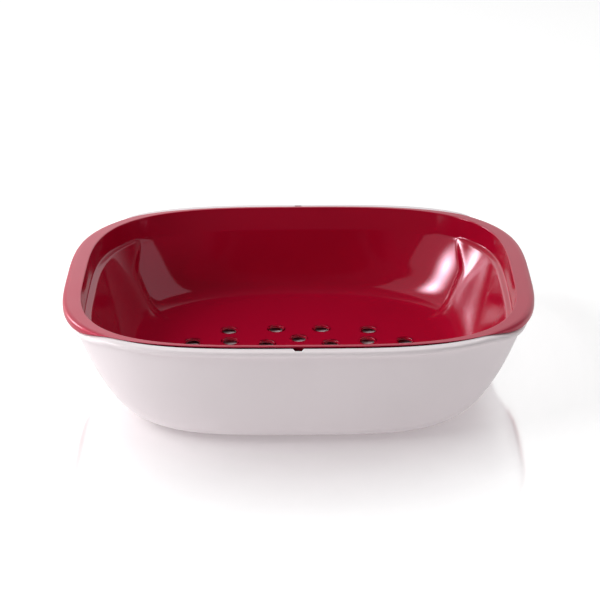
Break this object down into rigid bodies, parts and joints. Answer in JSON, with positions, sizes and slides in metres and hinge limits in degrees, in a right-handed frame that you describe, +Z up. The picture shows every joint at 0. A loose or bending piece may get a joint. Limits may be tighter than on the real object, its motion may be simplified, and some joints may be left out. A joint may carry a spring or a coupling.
{
  "type": "colander with bowl",
  "caption": "Rounded rectangular drain basket with two wings, nested in a deeper bowl that catches what drains and lifting straight out of it.",
  "frame": {"origin": "middle of the bowl's base, on the surface that the bowl stands on", "axes": "+X along the length towards the right wing, +Y from the front to the back, +Z up"},
  "size_m": [0.302, 0.2388, 0.0689],
  "materials": {
    "white_plastic": "satin moulded plastic, warm white",
    "crimson_plastic": "glossy moulded plastic, crimson"
  },
  "bodies": {
    "bowl": {"bowl": "white_plastic"},
    "colander": {"colander": "crimson_plastic"}
  },
  "joints": [
    {"name": "colander_lift", "type": "slide", "parent": "bowl", "child": "colander", "axis": [0, 0, 1], "range_m": [0, 0.1]}
  ]
}
